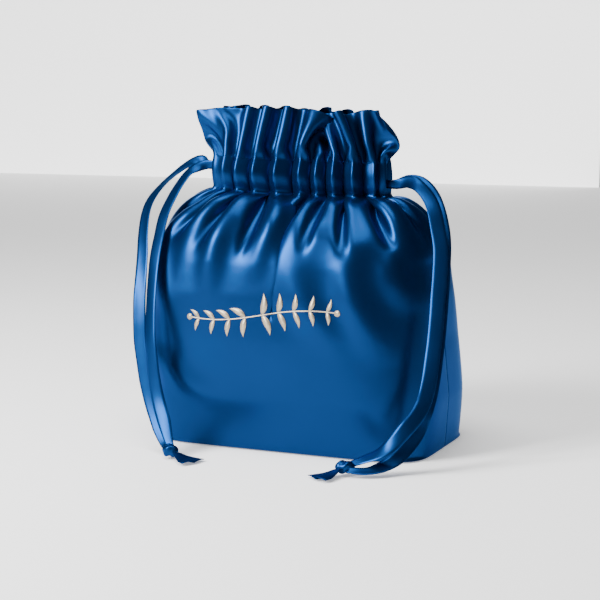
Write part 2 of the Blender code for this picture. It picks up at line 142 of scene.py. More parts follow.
FOLD_STEPS = 40  # places along each ridge
VALLEY_DEPTH = 0.42  # of the ridge's height
VALLEY_WIDTH = 2.1  # of the ridge's half width
EASE_ROWS = 34  # rows above the base that the filling keeps smooth
EASE_PASSES = 30
CENTRE_COLUMNS = 8  # columns on each side of the panel's middle that lie flat
CENTRE_TOP = 22  # rows below the casing where that starts
CENTRE_FADE = 12  # rows over which it does
FOLD_GROWTH = 1.3  # times the heights in the lists above
FOOT_ROWS = 12  # rows of cloth that the base's crease keeps straight
FOOT_RINGS = (0.985, 0.95, 0.8, 0.5, 0.2, 0.0)  # shares of the base's depth, from its edge inward
FOOT_TAPER = 0.02  # how much narrower the base is at its middle seam
FOOT_HEIGHT = 0.0004
FRILL_SPREAD = 0.75  # under 1, the gathers open into the hem's folds low in the frill

# The simulation
COARSE_RUN = (420, 0.004)  # steps, and seconds in each
FINE_RUN = (260, 0.003)
BEND = 0.30
FRILL_BEND = 1.6  # times stiffer than the wall
SHEAR = 0.10
SWEEPS = 3
DAMPING = 0.985
TOP_SPEED = 0.6
PRESSURE_AT_FOOT = 1.25  # times the filling's pressure
PRESSURE_FALL = 0.5  # lost from foot to casing
PUSH_BACK = 0.5  # share of a point's way back to its bounds in one step
FRILL_CLEAR = 0.0006  # each frill's least distance from the mouth's middle, at the casing
FRILL_LEAN = 0.10  # each frill's least slope away from the other
UNSEWN = 0.008  # cloth left open under the casing at each slit
LINE_STEPS = 4001  # places at which an oval is measured

# ---------------------------------------------------------------- cloth


def folded_line(folds, first, last, a, b, n, flow, columns):
    """One panel's folded line round an oval: points at equal spacing, the fold's phase, its length."""
    angles = np.radians(np.linspace(first, last, LINE_STEPS))
    knots = np.radians([first] + [at for at, _ in folds] + [last])
    count = len(folds)
    # half a fold at each end, so that the seams lie in a valley
    turns = [0.5] + list(range(1, count + 1)) + [count + 0.5]
    phase = 2 * np.pi * smooth_through(angles, knots, turns)
    rises = [SEAM_RISE] + [far for _, far in folds] + [SEAM_RISE]
    size = smooth_through(angles, knots, rises) * 1e-3
    c, s = np.cos(angles), np.sin(angles)
    x = a * np.sign(c) * np.abs(c) ** (2 / n)
    y = b * np.sign(s) * np.abs(s) ** (2 / n)
    nx, ny = np.sign(c) * np.abs(c) ** (2 - 2 / n) / a, np.sign(s) * np.abs(s) ** (2 - 2 / n) / b
    length = np.hypot(nx, ny)
    nx, ny = nx / length, ny / length
    out = size * np.cos(phase)
    along = size * (flow[0] * np.sin(2 * phase) + flow[1] * np.sin(phase))
    px = x + out * nx - along * ny
    py = y + out * ny + along * nx
    gone = np.concatenate([[0], np.cumsum(np.hypot(np.diff(px), np.diff(py)))])
    at = np.linspace(0, gone[-1], columns + 1)
    wave = np.cos(np.interp(at, gone, phase))
    return np.stack([np.interp(at, gone, px), np.interp(at, gone, py), wave], -1), gone[-1]


def smooth_through(x, knots, values):
    """A monotone smooth curve through the knots."""
    k = np.clip(np.searchsorted(knots, x, side="right") - 1, 0, len(knots) - 2)
    knots, values = np.asarray(knots), np.asarray(values, float)
    slope = np.diff(values) / np.diff(knots)
    inner = 2 * slope[1:] * slope[:-1] / (slope[1:] + slope[:-1] + 1e-12)
    tangent = np.concatenate([[slope[0]], inner, [slope[-1]]])
    tangent[1:-1] = np.where(slope[1:] * slope[:-1] > 0, tangent[1:-1], 0)
    h = knots[k + 1] - knots[k]
    t = (x - knots[k]) / h
    return (
        values[k] * (1 + 2 * t) * (1 - t) ** 2
        + tangent[k] * h * t * (1 - t) ** 2
        + values[k + 1] * t * t * (3 - 2 * t)
        - tangent[k + 1] * h * t * t * (1 - t)
    )


def both_lines(back, front, oval, flow, columns):
    """The two panels' folded lines, back panel first, and their lengths."""
    a, b, n = oval
    one, one_length = folded_line(back, 0, 180, a, b, n, flow, columns)
    other, other_length = folded_line(front, 180, 360, a, b, n, flow, columns)
    return np.array([one, other]), (one_length, other_length)


def body_at(z, k):
    """Column k of the body's table at a height."""
    return np.interp(z, BODY[:, 0], BODY[:, k])


def oval_ring(a, b, n, columns):
    """Both panels' points at equal spacing along a superellipse: (2, columns + 1, 2)."""
    turn = np.linspace(0, 2 * np.pi, LINE_STEPS)
    c, s = np.cos(turn), np.sin(turn)
    x = a * np.sign(c) * np.abs(c) ** (2 / n)
    y = b * np.sign(s) * np.abs(s) ** (2 / n)
    gone = np.concatenate([[0], np.cumsum(np.hypot(np.diff(x), np.diff(y)))])
    half = gone[LINE_STEPS // 2]
    at = np.linspace(0, half, columns + 1)
    back = np.stack([np.interp(at, gone, x), np.interp(at, gone, y)], -1)
    front = np.stack([np.interp(at + half, gone, x), np.interp(at + half, gone, y)], -1)
    return np.array([back, front])


class Cloth:
    """Both panels as one grid of points, (2, columns + 1, rows + 1, 3), sewn below the slits."""

    def __init__(self, columns, wall, casing, frill):
        self.columns, self.wall, self.casing, self.frill = columns, wall, casing, frill
        self.rows = wall + casing + frill
        self.low, self.high = wall, wall + casing
        rows = np.arange(self.rows + 1)
        self.height = np.piecewise(
            rows.astype(float),
            [rows <= self.low, (rows > self.low) & (rows <= self.high), rows > self.high],
            [
                lambda r: r / wall * WALL_CLOTH,
                lambda r: WALL_CLOTH + (r - self.low) / casing * CASING_CLOTH,
                lambda r: WALL_CLOTH + CASING_CLOTH + (r - self.high) / frill * FRILL_CLOTH,
            ],
        )
        neck_oval, hem_oval = (NECK_A, NECK_B, 2.0), HEM[1:4]
        shoulder_oval = tuple(body_at(SHOULDER_HEIGHT, k) for k in (1, 2, 3))
        self.neck, necks = both_lines(BACK_NECK, FRONT_NECK, neck_oval, NECK_FLOW, columns)
        self.shoulder, _ = both_lines(
            BACK_SHOULDER, FRONT_SHOULDER, shoulder_oval, SHOULDER_FLOW, columns
        )
        self.hem, hems = both_lines(BACK_HEM, FRONT_HEM, hem_oval, HEM_FLOW, columns)
        top = WALL_CLOTH + CASING_CLOTH
        stops = WALL_STOPS + [GATHER_STOP, WALL_CLOTH, top, top + FRILL_STOP, CUT_STOP]
        widths = []
        for neck, rim in zip(necks, hems):
            gathered = [0.5 * (neck + GATHER_WIDTH), neck, neck, 0.5 * (neck + rim), rim]
            widths.append(np.interp(self.height, stops, WALL_WIDTHS + gathered) / columns)
        self.across = np.array(widths)[:, None, :]
        self.up = np.diff(self.height)[None, None, :]
        self.inverse_mass = np.ones((2, columns + 1, self.rows + 1))
        self.inverse_mass[:, :, 0] = 0
        self.inverse_mass[:, :, self.low : self.high + 1] = 0
        self.sewn = int(np.searchsorted(self.height, WALL_CLOTH - UNSEWN))

    def neck_place(self, row):
        """Where a casing row's points are held."""
        share = (row - self.low) / self.casing
        bulge = 1 + CASING_BULGE * math.sin(math.pi * share)
        x = self.neck[..., 0] * (1 + CASING_SPREAD * math.sin(math.pi * share))
        y = self.neck[..., 1] * bulge
        z = CASING_LOW + share * (CASING_HIGH - CASING_LOW)
        z = z - CASING_TILT * x + RIDGE_LIFT * self.neck[..., 2]
        return np.stack([x + NECK_SHIFT, y, z + np.zeros_like(x)], -1)

    def start(self):
        """The first shape: rings up to the casing, the gathers fading down, and a flared frill."""
        place = np.zeros((2, self.columns + 1, self.rows + 1, 3))
        neck = self.neck_place(self.low)
        shoulder = np.stack(
            [
                self.shoulder[..., 0] + body_at(SHOULDER_HEIGHT, 4),
                self.shoulder[..., 1],
                np.full(self.shoulder.shape[:2], SHOULDER_HEIGHT),
            ],
            -1,
        )
        for row in range(self.low):
            share = self.height[row] / WALL_CLOTH
            z = min(SHOULDER_HEIGHT * (share / SHOULDER_SHARE) ** SHOULDER_EASE, CASING_LOW)
            ring = oval_ring(body_at(z, 1), body_at(z, 2), body_at(z, 3), self.columns)
            smooth = np.concatenate([ring, np.full(ring.shape[:2] + (1,), z)], -1)
            smooth[..., 0] += body_at(z, 4)
            if share < SHOULDER_SHARE:
                t = np.clip((share - SMOOTH_SHARE) / (SHOULDER_SHARE - SMOOTH_SHARE), 0, 1)
                t = t * t * (3 - 2 * t)
                level = shoulder + (smooth - oval_base(SHOULDER_HEIGHT, self.columns))
                place[:, :, row] = smooth * (1 - t) + level * t
                place[:, :, row, 2] = z
            else:
                t = (share - SHOULDER_SHARE) / (1 - SHOULDER_SHARE)
                bow = math.sin(math.pi * t) * SHOULDER_BOW
                place[:, :, row] = shoulder * (1 - t) + neck * t
                place[:, :, row, 2] += bow
        place[:, :, 0, 2] = FLOOR_CLEAR
        for row in range(self.low, self.high + 1):
            place[:, :, row] = self.neck_place(row)
        top = place[:, :, self.high]
        level = np.full(self.hem.shape[:2], HEM[0])
        rim = np.stack([self.hem[..., 0] + HEM[4], self.hem[..., 1], level], -1)
        for row in range(self.high + 1, self.rows + 1):
            t = (self.height[row] - self.height[self.high]) / FRILL_CLOTH
            spread = t**FRILL_SPREAD
            place[:, :, row] = top * (1 - spread) + rim * spread
            place[:, :, row, 2] = top[..., 2] * (1 - t) + rim[..., 2] * t
        return place


def pull(p, w, a, b, rest, stiff):
    """Bring each pair of points towards its rest distance."""
    d = p[b] - p[a]
    length = np.sqrt(np.einsum("...k,...k->...", d, d)) + 1e-12
    wa, wb = w[a], w[b]
    c = stiff * (length - rest) / (length * (wa + wb + 1e-9))
    p[a] += (wa * c)[..., None] * d
    p[b] -= (wb * c)[..., None] * d


def pairs(axis, step, offset, count):
    """Index slices for pairs of grid points, step apart along an axis."""
    a, b = [slice(None)] * 3, [slice(None)] * 3
    stop = count - step + 1
    a[axis] = slice(offset, stop, 2 * step)
    b[axis] = slice(offset + step, count + 1, 2 * step)
    return tuple(a), tuple(b)


def normals_of(p):
    """Each point's outward direction."""
    du = np.empty_like(p)
    du[:, 1:-1] = p[:, 2:] - p[:, :-2]
    du[:, 0] = p[:, 1] - p[:, 0]
    du[:, -1] = p[:, -1] - p[:, -2]
    dv = np.empty_like(p)
    dv[:, :, 1:-1] = p[:, :, 2:] - p[:, :, :-2]
    dv[:, :, 0] = p[:, :, 1] - p[:, :, 0]
    dv[:, :, -1] = p[:, :, -1] - p[:, :, -2]
    n = np.cross(du, dv)
    return n / (np.linalg.norm(n, axis=-1, keepdims=True) + 1e-12)


def hold_lengths(cloth, p, w, diagonal, bend):
    """One sweep that brings threads, diagonals and bends back to their lengths."""
    columns, rows = cloth.columns, cloth.rows
    for offset in (0, 1):
        a, b = pairs(1, 1, offset, columns)
        pull(p, w, a, b, cloth.across, 1.0)
    for offset in (0, 1):
        a, b = pairs(2, 1, offset, rows)
        pull(p, w, a, b, cloth.up[:, :, a[2]], 1.0)
    low, high = slice(0, -1), slice(1, None)
    pull(p, w, (slice(None), low, low), (slice(None), high, high), diagonal, SHEAR)
    pull(p, w, (slice(None), high, low), (slice(None), low, high), diagonal, SHEAR)
    for offset in range(4):
        a = (slice(None), slice(offset, columns - 1, 4))
        b = (slice(None), slice(offset + 2, columns + 1, 4))
        pull(p, w, a, b, 2 * cloth.across, bend[None, None, :])
    for offset in range(4):
        one, other = slice(offset, rows - 1, 4), slice(offset + 2, rows + 1, 4)
        rest = (cloth.height[other] - cloth.height[one])[None, None, :]
        a, b = (slice(None), slice(None), one), (slice(None), slice(None), other)
        pull(p, w, a, b, rest, bend[one][None, None, :])


def sew(cloth, p):
    """Bring the two panels' edges together along both side seams."""
    for one, other in (((0, -1), (1, 0)), ((1, -1), (0, 0))):
        middle = 0.5 * (p[one][: cloth.sewn] + p[other][: cloth.sewn])
        p[one][: cloth.sewn] = middle
        p[other][: cloth.sewn] = middle


def settle(cloth, p, steps, dt):
    """Let the cloth move and come to rest over the filling."""
    w = cloth.inverse_mass
    v = np.zeros_like(p)
    rows = cloth.rows
    diagonal = np.sqrt(cloth.across[:, :, :-1] ** 2 + cloth.up**2)
    body_rows = slice(1, cloth.low)
    frill = slice(cloth.high + 1, rows + 1)
    bend = np.full(rows + 1, BEND)
    bend[cloth.high :] = BEND * FRILL_BEND
    push = np.zeros(rows + 1)
    share = cloth.height[body_rows] / WALL_CLOTH
    push[body_rows] = PRESSURE * np.clip(PRESSURE_AT_FOOT - share * PRESSURE_FALL, 0, 1)
    for _ in range(steps):
        v += dt * push[None, None, :, None] * normals_of(p)
        v[:, :, : cloth.high, 2] -= dt * GRAVITY
        v *= DAMPING
        speed = np.linalg.norm(v, axis=-1, keepdims=True)
        v *= np.minimum(1, TOP_SPEED / (speed + 1e-9))
        v *= (w > 0)[..., None]
        old = p.copy()
        p += dt * v
        for _ in range(SWEEPS):
            hold_lengths(cloth, p, w, diagonal, bend)
            sew(cloth, p)
        contain(cloth, p, body_rows, frill)
        v = (p - old) / dt
    return p


def contain(cloth, p, body_rows, frill):
    """Keep the cloth over the filling, inside its furthest swell and off the floor.

    Each panel's frill also stays on its own side of the mouth.
    """
    q = p[:, :, body_rows]
    np.maximum(q[..., 2], FLOOR_CLEAR, out=q[..., 2])
    z = q[..., 2]
    a, b, n, shift = (body_at(z, k) for k in (1, 2, 3, 4))
    sink, swell = body_at(z, 5), body_at(z, 6)
    x, y = q[..., 0] - shift, q[..., 1]
    inner = (np.abs(x) / (a - sink)) ** n + (np.abs(y) / (b - sink)) ** n
    outer = (np.abs(x) / (a + swell)) ** n + (np.abs(y) / (b + swell)) ** n
    factor = np.where(inner < 1, np.maximum(inner, 1e-6) ** (-1 / n), 1.0)
    factor = np.where(outer > 1, outer ** (-1 / n), factor)
    factor = 1 + (factor - 1) * PUSH_BACK
    q[..., 0] = x * factor + shift
    q[..., 1] = y * factor
    f = p[:, :, frill]
    up = (cloth.height[frill] - cloth.height[cloth.high])[None, None, :]
    clear = FRILL_CLEAR + FRILL_LEAN * up
    f[0, ..., 1] = np.maximum(f[0, ..., 1], clear[0])
    f[1, ..., 1] = np.minimum(f[1, ..., 1], -clear[0])


def oval_base(z, columns):
    """The smooth ring at a height, as points of both panels."""
    ring = oval_ring(body_at(z, 1), body_at(z, 2), body_at(z, 3), columns)
    ring = np.concatenate([ring, np.full(ring.shape[:2] + (1,), z)], -1)
    ring[..., 0] += body_at(z, 4)
    return ring


def finer(p, columns, height_from, height_to):
    """The same shape on a finer grid."""
    count = p.shape[1]
    at = np.linspace(0, count - 1, columns + 1)
    i = np.clip(at.astype(int), 0, count - 2)
    t = (at - i)[None, :, None, None]
    q = p[:, i] * (1 - t) + p[:, i + 1] * t
    k = np.clip(np.searchsorted(height_from, height_to, side="right") - 1, 0, len(height_from) - 2)
    t = ((height_to - height_from[k]) / (height_from[k + 1] - height_from[k]))[None, None, :, None]
    return q[:, :, k] * (1 - t) + q[:, :, k + 1] * t


def add_long_folds(cloth, p):
    """Raise the long ridges, each with a shallow valley along both its sides."""
    out = normals_of(p)
    t = np.linspace(0, 1, FOLD_STEPS)[:, None]
    for side, folds in ((0, BACK_FOLDS), (1, FRONT_FOLDS)):
        place = p[side, :, : cloth.low][..., (0, 2)]
        height = np.zeros(place.shape[:2])
        for upper, middle, lower, width, rise in folds:
            a, b, c = (np.array(point) for point in (upper, middle, lower))
            turn = 2 * b - (a + c) / 2  # the curve passes through the middle
            line = a * (1 - t) ** 2 + 2 * turn * t * (1 - t) + c * t**2
            away = np.linalg.norm(place[:, :, None] - line, axis=-1)
            near = away.argmin(-1)
            d = away.min(-1) / width
            fade = np.sin(np.pi * (0.15 + 0.85 * t[near, 0])) ** 1.2
            valley = VALLEY_DEPTH * np.exp(-((d / VALLEY_WIDTH) ** 2))
            height += FOLD_GROWTH * rise * fade * (np.exp(-(d**2)) - valley)
        rows, columns = np.arange(cloth.low), np.arange(cloth.columns + 1)
        held = np.clip((cloth.low - rows) / 6, 0, 1)
        foot = np.clip(rows / 8, 0, 1)
        edge = np.clip(np.minimum(columns, columns[::-1]) / 6, 0, 1)
        height *= (held * foot)[None, :] * edge[:, None]
        p[side, :, : cloth.low] += out[side, :, : cloth.low] * height[..., None]
    return p


def flatten_centre(cloth, p):
    """Draw the cloth flat across the middle of each panel, below the gathers."""
    level = slice(1, cloth.low - CENTRE_TOP)
    middle = cloth.columns // 2
    low, high = middle - CENTRE_COLUMNS, middle + CENTRE_COLUMNS
    below = np.arange(cloth.low - CENTRE_TOP - 1, 0, -1)
    fade = np.clip(below / CENTRE_FADE, 0, 1)[None, :, None]
    for column in range(low + 1, high):
        share = (column - low) / (high - low)
        line = p[:, low, level] * (1 - share) + p[:, high, level] * share
        p[:, column, level] += fade * (line - p[:, column, level])


def straighten_foot(cloth, p):
    """Bring the lowest rows back towards the base's own edge."""
    base = cloth.start()
    for row in range(1, FOOT_ROWS):
        share = row / FOOT_ROWS
        p[:, :, row] = base[:, :, row] * (1 - share) + p[:, :, row] * share


def ease_lower(p):
    """Smooth the lower cloth over the filling, less and less with height."""
    rows = slice(1, EASE_ROWS)
    share = 0.5 * (1 - np.arange(1, EASE_ROWS) / EASE_ROWS)[None, None, :, None]
    for _ in range(EASE_PASSES):
        between = 0.5 * (p[:, :-2, rows] + p[:, 2:, rows])
        p[:, 1:-1, rows] += share * (between - p[:, 1:-1, rows])


def make_cloth():
    """The pouch's cloth at rest: settled on a coarse grid, then on the fine one."""
    fine = Cloth(PANEL_COLUMNS, WALL_ROWS, CASING_ROWS, FRILL_ROWS)
    coarse = Cloth(PANEL_COLUMNS // 2, WALL_ROWS // 2, CASING_ROWS // 2, (FRILL_ROWS + 1) // 2)
    p = settle(coarse, coarse.start(), *COARSE_RUN)
    p = finer(p, fine.columns, coarse.height, fine.height)
    for row in range(fine.low, fine.high + 1):
        p[:, :, row] = fine.neck_place(row)
    p[:, :, 0] = fine.start()[:, :, 0]
    p = settle(fine, p, *FINE_RUN)
    flatten_centre(fine, p)
    straighten_foot(fine, p)
    ease_lower(p)
    return fine, add_long_folds(fine, p)


# ---------------------------------------------------------------- materials


def new_material(name):
    material = bpy.data.materials.new(name)
    material.use_nodes = True
    nodes, links = material.node_tree.nodes, material.node_tree.links
    return material, nodes, links, nodes["Principled BSDF"]


def noise(nodes, links, vector, scale, detail):
    """A noise texture's output."""
    made = nodes.new("ShaderNodeTexNoise")
    made.inputs["Scale"].default_value = scale
    made.inputs["Detail"].default_value = detail
    links.new(vector, made.inputs["Vector"])
    return made.outputs["Fac"]


def bump(nodes, links, height, strength, distance):
    """A bump node fed by a height."""
    made = nodes.new("ShaderNodeBump")
    made.inputs["Strength"].default_value = strength
    made.inputs["Distance"].default_value = distance
    links.new(height, made.inputs["Height"])
    return made


def blend(nodes, links, factor, one, other):
    """A colour between two, by a factor."""
    made = nodes.new("ShaderNodeMix")
    made.data_type = "RGBA"
    made.inputs[6].default_value = (*one, 1)
    made.inputs[7].default_value = (*other, 1)
    links.new(factor, made.inputs["Factor"])
    return made.outputs[2]


def satin_material(name, base, tint, rough):
    """Satin: a slightly uneven colour, its threads' own blue shine and a fine weave."""
    material, nodes, links, shader = new_material(name)
    shader.inputs["Roughness"].default_value = rough
    shader.inputs["Metallic"].default_value = SATIN_METALLIC
    shader.inputs["Specular IOR Level"].default_value = 0.3
    shader.inputs["Specular Tint"].default_value = (*tint, 1)
    place = nodes.new("ShaderNodeTexCoord").outputs["Object"]
    cloud = noise(nodes, links, place, 28, 3)
    pale, deep = [1.08 * c for c in base], [0.92 * c for c in base]
    links.new(blend(nodes, links, cloud, deep, pale), shader.inputs["Base Color"])
    stretch = nodes.new("ShaderNodeMapping")
    stretch.inputs["Scale"].default_value = (1.0, 1.0, 0.30)
    links.new(place, stretch.inputs["Vector"])
    weave = noise(nodes, links, stretch.outputs["Vector"], 1900, 2)
    creases = bump(nodes, links, noise(nodes, links, place, 60, 3), 0.25, 0.0004)
    threads = bump(nodes, links, weave, 0.10, 0.00006)
    links.new(creases.outputs["Normal"], threads.inputs["Normal"])
    links.new(threads.outputs["Normal"], shader.inputs["Normal"])
    return material


def foil_material(name):
    """Pale gold foil pressed into satin, broken a little by the weave."""
    material, nodes, links, shader = new_material(name)
    shader.inputs["Metallic"].default_value = 0.75
    shader.inputs["Roughness"].default_value = 0.45
    place = nodes.new("ShaderNodeTexCoord").outputs["Object"]
    grain = noise(nodes, links, place, 900, 2)
    colour = blend(nodes, links, grain, (0.33, 0.27, 0.20), (0.62, 0.52, 0.38))
    links.new(colour, shader.inputs["Base Color"])
    return material


# ---------------------------------------------------------------- pieces


def add_object(name, mesh, *materials):
    made = bpy.data.objects.new(name, mesh)
    bpy.context.scene.collection.objects.link(made)
    for material in materials:
        mesh.materials.append(material)
    return made


def closed_mesh(name, verts, faces):
    """A smooth mesh with its faces turned outward."""
    mesh = bpy.data.meshes.new(name)
    mesh.from_pydata([tuple(v) for v in verts], [], faces)
    shape = bmesh.new()
    shape.from_mesh(mesh)
    bmesh.ops.recalc_face_normals(shape, faces=shape.faces)
    shape.to_mesh(mesh)
    shape.free()
    mesh.shade_smooth()
    return mesh


def panel_mesh(name, cloth, p, side, material):
    """One panel: its wall, casing and frill from the grid, and its half of the base."""
    grid = p[side]
    columns, rows = cloth.columns, cloth.rows
    foot = []
    edge = grid[:, 0]
    for share in FOOT_RINGS:
        ring = edge.copy()
        ring[:, 1] = edge[:, 1] * share
        ring[:, 0] = edge[:, 0] * (1 - FOOT_TAPER * (1 - share))
        ring[:, 2] = FOOT_HEIGHT
        foot.append(ring)
    levels = foot[::-1] + [grid[:, r] for r in range(rows + 1)]
    verts = np.concatenate(levels)
    wide = columns + 1
    faces = []
    for r in range(len(levels) - 1):
        for c in range(columns):
            a = r * wide + c
            faces.append((a, a + 1, a + 1 + wide, a + wide))
    mesh = bpy.data.meshes.new(name)
    mesh.from_pydata(verts.tolist(), [], faces)
    mesh.shade_smooth()
    made = add_object(name, mesh, material)
    thick = made.modifiers.new("cloth", "SOLIDIFY")
    thick.thickness = THICKNESS
    thick.offset = -1
    smooth = made.modifiers.new("smooth", "SUBSURF")
    smooth.levels = smooth.render_levels = 1
    return made


# ---------------------------------------------------------------- stitches

STITCH_LENGTH = 0.0023
STITCH_PITCH = 0.0031
STITCH_SIDES = 6
# Rings along a stitch: share of its length, share of its thickness
STITCH_RINGS = np.array([(0.0, 0.3), (0.12, 0.9), (0.5, 1.0), (0.88, 0.9), (1.0, 0.3)])
THREAD = 0.00038  # thread's thickness
STITCH_LIFT = 0.00022  # over the cloth's middle surface


def stitches(name, cloth, p, side, material):
    """The sewing thread's visible stitches along both edges of one panel's casing."""
    out = normals_of(p)
    verts, faces = [], []
    for row in (cloth.low, cloth.high):
        line = p[side, :, row] + out[side, :, row] * STITCH_LIFT
        gone = np.concatenate([[0], np.cumsum(np.linalg.norm(np.diff(line, axis=0), axis=1))])
        for start in np.arange(STITCH_PITCH, gone[-1] - STITCH_PITCH, STITCH_PITCH):
            at = start + STITCH_LENGTH * STITCH_RINGS[:, 0]
            places = np.stack([np.interp(at, gone, line[:, k]) for k in range(3)], 1)
            normal = np.stack([np.interp(at, gone, out[side, :, row, k]) for k in range(3)], 1)
            up = np.array([0.0, 0.0, 1.0])
            first = len(verts)
            for place, away, size in zip(places, normal, STITCH_RINGS[:, 1]):
                for turn in np.arange(STITCH_SIDES) * 2 * math.pi / STITCH_SIDES:
                    reach = away * math.cos(turn) + up * math.sin(turn)
                    verts.append(tuple(place + reach * THREAD / 2 * size))
            for i in range(len(STITCH_RINGS) - 1):
                a, b = first + STITCH_SIDES * i, first + STITCH_SIDES * (i + 1)
                for k in range(STITCH_SIDES):
                    m = (k + 1) % STITCH_SIDES
                    faces.append((a + k, a + m, b + m, b + k))
            final = len(verts) - STITCH_SIDES
            faces.append(tuple(first + k for k in range(STITCH_SIDES))[::-1])
            faces.append(tuple(final + k for k in range(STITCH_SIDES)))
    return add_object(name, closed_mesh(name, verts, faces), material)


# ---------------------------------------------------------------- drawstrings

# Each hanging strand from its knot up to its slit: place, then the way its face is turned. These
# are the routes of the CAD tapes.
LEFT_KNOT = (-0.0548, -0.1035, 0.0053)
LEFT_FRONT = [
    (-0.0548, -0.1010, 0.0060, 0.2, -1.0, 0.3),
    (-0.0585, -0.0985, 0.0100, 0.2, -1.0, 0.3),
    (-0.0650, -0.0925, 0.0208, 0.1, -1.0, 0.3),
    (-0.0725, -0.0865, 0.0335, 0.0, -1.0, 0.3),
    (-0.0775, -0.0830, 0.0475, -0.1, -1.0, 0.2),
    (-0.0806, -0.0805, 0.0615, -0.2, -1.0, 0.2),
    (-0.0835, -0.0775, 0.0760, -0.3, -1.0, 0.2),
    (-0.0856, -0.0735, 0.0900, -0.4, -1.0, 0.3),
    (-0.0872, -0.0690, 0.1045, -0.4, -1.0, 0.3),
    (-0.0888, -0.0635, 0.1185, -0.4, -1.0, 0.4),
    (-0.0902, -0.0570, 0.1325, -0.3, -0.9, 0.5),
    (-0.0914, -0.0485, 0.1465, -0.3, -0.8, 0.5),
    (-0.0925, -0.0385, 0.1605, -0.3, -0.8, 0.7),
    (-0.0918, -0.0250, 0.1740, -0.3, -0.7, 0.7),
    (-0.0905, -0.0160, 0.1820, -0.3, -0.6, 0.8),
    (-0.0885, -0.0090, 0.1880, -0.2, -0.6, 0.8),
    (-0.0835, -0.0040, 0.1920, 0.1, -0.8, 0.5),
    (-0.0775, -0.0010, 0.1940, 0.0, -1.0, 0.0),
]
LEFT_BACK = [
    (-0.0588, -0.1000, 0.0052, -0.2, 1.0, -0.3),
    (-0.0650, -0.0935, 0.0082, -0.2, 1.0, -0.3),
    (-0.0742, -0.0865, 0.0202, -0.1, 1.0, -0.2),
    (-0.0815, -0.0820, 0.0325, 0.0, 1.0, -0.2),
    (-0.0872, -0.0785, 0.0465, 0.0, 1.0, -0.2),
    (-0.0912, -0.0755, 0.0605, 0.0, 1.0, -0.2),
    (-0.0948, -0.0725, 0.0745, 0.0, 1.0, -0.2),
    (-0.0967, -0.0695, 0.0890, 0.0, 1.0, -0.2),
    (-0.0985, -0.0655, 0.1035, 0.0, 1.0, -0.3),
    (-0.1002, -0.0600, 0.1180, 0.1, 0.9, -0.3),
    (-0.1028, -0.0530, 0.1320, 0.2, 0.9, -0.4),
    (-0.1065, -0.0450, 0.1460, 0.3, 0.8, -0.4),
    (-0.1092, -0.0360, 0.1600, 0.4, 0.8, -0.5),
    (-0.1088, -0.0280, 0.1700, 0.4, 0.7, -0.7),
    (-0.1046, -0.0180, 0.1800, 0.4, 0.5, -0.8),
    (-0.0985, -0.0075, 0.1885, 0.3, 0.5, -0.8),
    (-0.0915, 0.0010, 0.1950, 0.1, 0.6, -0.8),
    (-0.0840, 0.0035, 0.1970, -0.1, 0.9, -0.4),
    (-0.0775, 0.0010, 0.1940, 0.0, 1.0, 0.0),
]
RIGHT_KNOT = (0.0712, -0.0995, 0.0053)
RIGHT_FRONT = [
    (0.0722, -0.0975, 0.0060, 0.2, -0.6, 0.8),
    (0.0810, -0.0940, 0.0095, 0.2, -0.5, 0.9),
    (0.0926, -0.0922, 0.0148, 0.2, -0.5, 0.9),
    (0.1003, -0.0893, 0.0212, 0.3, -0.7, 0.7),
    (0.1081, -0.0842, 0.0310, 0.4, -0.9, 0.4),
    (0.1128, -0.0770, 0.0388, 0.5, -1.0, 0.2),
    (0.1148, -0.0690, 0.0475, 0.5, -1.0, 0.2),
    (0.1157, -0.0630, 0.0590, 0.4, -1.0, 0.2),
    (0.1155, -0.0570, 0.0720, 0.3, -1.0, 0.2),
    (0.1152, -0.0510, 0.0850, 0.3, -1.0, 0.2),
    (0.1147, -0.0460, 0.0985, 0.3, -1.0, 0.2),
    (0.1138, -0.0410, 0.1115, 0.3, -1.0, 0.2),
    (0.1134, -0.0370, 0.1250, 0.3, -1.0, 0.2),
    (0.1122, -0.0320, 0.1425, 0.3, -0.9, 0.3),
    (0.1083, -0.0270, 0.1560, 0.4, -0.8, 0.4),
    (0.1040, -0.0220, 0.1675, 0.4, -0.7, 0.6),
    (0.0984, -0.0170, 0.1755, 0.3, -0.6, 0.7),
    (0.0900, -0.0110, 0.1820, 0.2, -0.6, 0.7),
    (0.0810, -0.0050, 0.1852, -0.2, -0.8, 0.4),
    (0.0740, -0.0015, 0.1842, -0.2, -1.0, 0.1),
    (0.0690, -0.0010, 0.1830, 0.0, -1.0, 0.0),
]
